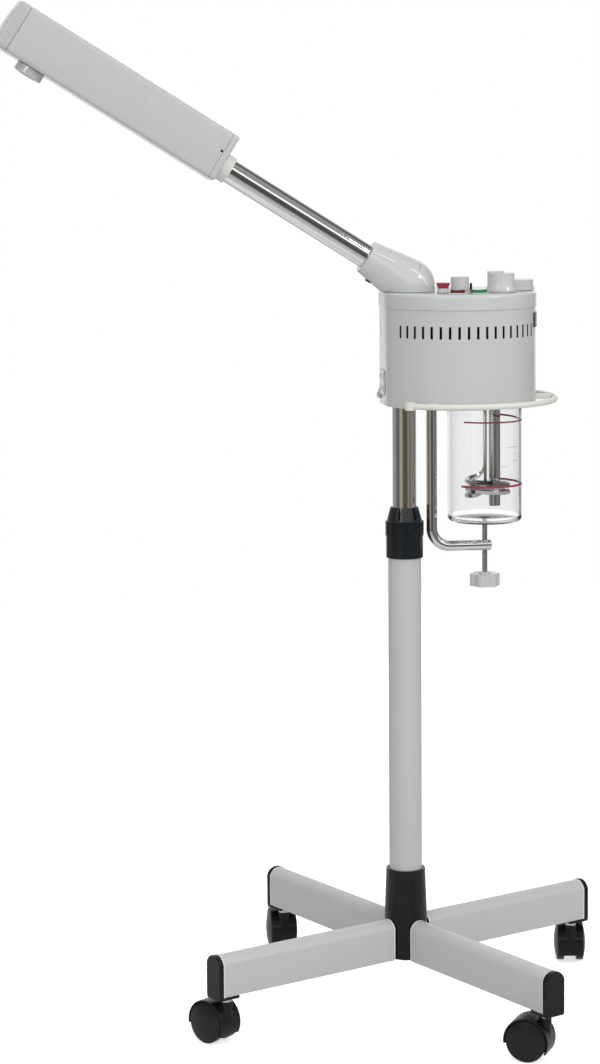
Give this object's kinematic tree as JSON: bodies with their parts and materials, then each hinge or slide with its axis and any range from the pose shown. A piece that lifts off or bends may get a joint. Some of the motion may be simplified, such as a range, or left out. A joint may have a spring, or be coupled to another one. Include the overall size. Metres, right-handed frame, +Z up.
{
  "type": "facial steamer",
  "caption": "Facial steamer on a rolling stand: boiler head with a clamped glass jar, lid controls, guard ring and a swivelling steam arm on a rising column.",
  "frame": {"origin": "on the floor, on the axis of the column", "axes": "+Z up, +X from the column towards the jar, -X the way the arm rises; the controls on the lid are on the -Y side"},
  "size_m": [0.7138, 0.5138, 1.1611],
  "materials": {
    "black_plastic": "satin moulded",
    "leg_paint": "light grey satin paint",
    "column_paint": "pale grey satin paint",
    "wheel_plastic": "hard moulded, slightly glossy",
    "steel": "machined",
    "brass": "yellow zinc",
    "cast_alloy": "as cast",
    "chrome": "bright plated",
    "housing_plastic": "light grey, slight gloss",
    "pale_plastic": "pale grey satin",
    "cream_plastic": "cream satin",
    "badge_black": "bare dark plate",
    "rubber": "soft matt",
    "board_green": "printed board",
    "lamp_red": "translucent lens",
    "rocker_red": "dark red",
    "rocker_green": "green",
    "jar_glass": "clear"
  },
  "bodies": {
    "stand": {"hub": "black_plastic", "leg_front_left": "leg_paint", "leg_front_right": "leg_paint", "leg_back_left": "leg_paint", "leg_back_right": "leg_paint", "leg_end_caps": "black_plastic", "base_bolts": "brass", "outer_tube": "column_paint", "guide_bush": "cream_plastic", "collar_body": "black_plastic"},
    "collar_nut": {"collar_nut": "black_plastic"},
    "caster_fl": {"caster_hood_fl": "black_plastic", "caster_pins_fl": "steel"},
    "wheels_fl": {"caster_wheels_fl": "wheel_plastic"},
    "caster_fr": {"caster_hood_fr": "black_plastic", "caster_pins_fr": "steel"},
    "wheels_fr": {"caster_wheels_fr": "wheel_plastic"},
    "caster_bl": {"caster_hood_bl": "black_plastic", "caster_pins_bl": "steel"},
    "wheels_bl": {"caster_wheels_bl": "wheel_plastic"},
    "caster_br": {"caster_hood_br": "black_plastic", "caster_pins_br": "steel"},
    "wheels_br": {"caster_wheels_br": "wheel_plastic"},
    "post": {"inner_post": "chrome", "post_foot": "cream_plastic"},
    "head": {"base_plate": "housing_plastic", "housing_shell": "housing_plastic", "lid": "housing_plastic", "post_socket": "steel", "socket_plate": "pale_plastic", "power_inlet": "black_plastic", "badge_plate": "badge_black", "guard_ring": "cream_plastic", "boiler_head": "cast_alloy", "jar_gasket": "rubber", "heater_coil": "steel", "level_tube": "steel", "steam_hose": "rubber", "control_board": "board_green", "filler_pipe": "rubber", "switch_bezels": "pale_plastic", "pilot_lamp": "lamp_red"},
    "rocker_red": {"rocker_red": "rocker_red"},
    "rocker_green": {"rocker_green": "rocker_green"},
    "timer_knob": {"timer_knob": "pale_plastic"},
    "vapour_knob": {"vapour_knob": "pale_plastic"},
    "filler_cap": {"filler_cap": "pale_plastic"},
    "jar": {"jar": "jar_glass"},
    "bracket": {"bracket_rod": "chrome"},
    "clamp_tip": {"clamp_pad": "rubber"},
    "clamp_screw": {"clamp_screw": "steel", "clamp_knob": "pale_plastic"},
    "elbow": {"elbow": "housing_plastic", "elbow_screw": "black_plastic"},
    "arm": {"arm_tube": "chrome", "ferrule": "cream_plastic", "rear_cap": "housing_plastic", "arm_box": "housing_plastic", "front_cap": "pale_plastic"},
    "nozzle": {"nozzle": "pale_plastic"}
  },
  "joints": [
    {"name": "collar_turn", "type": "hinge", "parent": "stand", "child": "collar_nut", "pos_m": [0, 0, 0.558], "axis": [0, 0, 1], "range_deg": [0, 90]},
    {"name": "swivel_fl", "type": "hinge", "parent": "stand", "child": "caster_fl", "pos_m": [-0.22463, -0.112, 0.06], "axis": [0, 0, 1], "continuous": true},
    {"name": "roll_fl", "type": "hinge", "parent": "caster_fl", "child": "wheels_fl", "pos_m": [-0.2362, -0.09821, 0.0225], "axis": [-0.766, -0.6428, 0], "continuous": true},
    {"name": "swivel_fr", "type": "hinge", "parent": "stand", "child": "caster_fr", "pos_m": [0.112, -0.22463, 0.06], "axis": [0, 0, 1], "continuous": true},
    {"name": "roll_fr", "type": "hinge", "parent": "caster_fr", "child": "wheels_fr", "pos_m": [0.09641, -0.21563, 0.0225], "axis": [-0.5, -0.866, 0], "continuous": true},
    {"name": "swivel_bl", "type": "hinge", "parent": "stand", "child": "caster_bl", "pos_m": [-0.112, 0.22463, 0.06], "axis": [0, 0, 1], "continuous": true},
    {"name": "roll_bl", "type": "hinge", "parent": "caster_bl", "child": "wheels_bl", "pos_m": [-0.112, 0.24263, 0.0225], "axis": [-1, 0, 0], "continuous": true},
    {"name": "swivel_br", "type": "hinge", "parent": "stand", "child": "caster_br", "pos_m": [0.22463, 0.112, 0.06], "axis": [0, 0, 1], "continuous": true},
    {"name": "roll_br", "type": "hinge", "parent": "caster_br", "child": "wheels_br", "pos_m": [0.22775, 0.12972, 0.0225], "axis": [-0.9848, 0.1736, 0], "continuous": true},
    {"name": "column_lift", "type": "slide", "parent": "stand", "child": "post", "axis": [0, 0, 1], "range_m": [-0.1, 0.2]},
    {"name": "head_turn", "type": "hinge", "parent": "post", "child": "head", "pos_m": [0, 0, 0.7], "axis": [0, 0, 1], "range_deg": [-170, 170]},
    {"name": "rocker_tilt_red", "type": "hinge", "parent": "head", "child": "rocker_red", "pos_m": [0.04946, -0.06617, 0.8275], "axis": [-0.1977, -0.9803, 0], "range_deg": [-8, 8]},
    {"name": "rocker_tilt_green", "type": "hinge", "parent": "head", "child": "rocker_green", "pos_m": [0.07348, -0.06665, 0.8275], "axis": [0.1582, -0.9874, 0], "range_deg": [-8, 8]},
    {"name": "timer_turn", "type": "hinge", "parent": "head", "child": "timer_knob", "pos_m": [0.0658, 0, 0.838], "axis": [0, 0, -1], "range_deg": [0, 300]},
    {"name": "vapour_turn", "type": "hinge", "parent": "head", "child": "vapour_knob", "pos_m": [0.1048, -0.042, 0.842], "axis": [0, 0, -1], "range_deg": [0, 270]},
    {"name": "filler_lift", "type": "slide", "parent": "head", "child": "filler_cap", "axis": [0, 0, 1], "range_m": [0, 0.03]},
    {"name": "bracket_swing", "type": "hinge", "parent": "head", "child": "bracket", "pos_m": [0.032, 0, 0.7], "axis": [0, 0, 1], "range_deg": [-90, 90]},
    {"name": "clamp_lift", "type": "slide", "parent": "bracket", "child": "clamp_tip", "axis": [0, 0, 1], "range_m": [-0.015, 0]},
    {"name": "clamp_turn", "type": "hinge", "parent": "clamp_tip", "child": "clamp_screw", "pos_m": [0.0945, 0, 0.53], "axis": [0, 0, -1], "range_deg": [0, 5400]},
    {"name": "jar_drop", "type": "slide", "parent": "head", "child": "jar", "axis": [0, 0, 1], "range_m": [-0.015, 0]},
    {"name": "arm_swivel", "type": "hinge", "parent": "head", "child": "elbow", "pos_m": [0.0061, 0, 0.83], "axis": [0, 0, 1], "range_deg": [-90, 90]},
    {"name": "arm_roll", "type": "hinge", "parent": "elbow", "child": "arm", "pos_m": [-0.07843, 0, 0.89163], "axis": [-0.8453, 0, 0.5344], "range_deg": [-45, 45]},
    {"name": "nozzle_turn", "type": "hinge", "parent": "arm", "child": "nozzle", "pos_m": [-0.42312, 0, 1.08523], "axis": [0.5344, 0, 0.8453], "range_deg": [-180, 180]}
  ],
  "couplings": [
    {"joint": "clamp_turn", "follows": "clamp_lift", "rad_per_m": -6283.2},
    {"joint": "jar_drop", "follows": "clamp_lift", "ratio": 1}
  ]
}
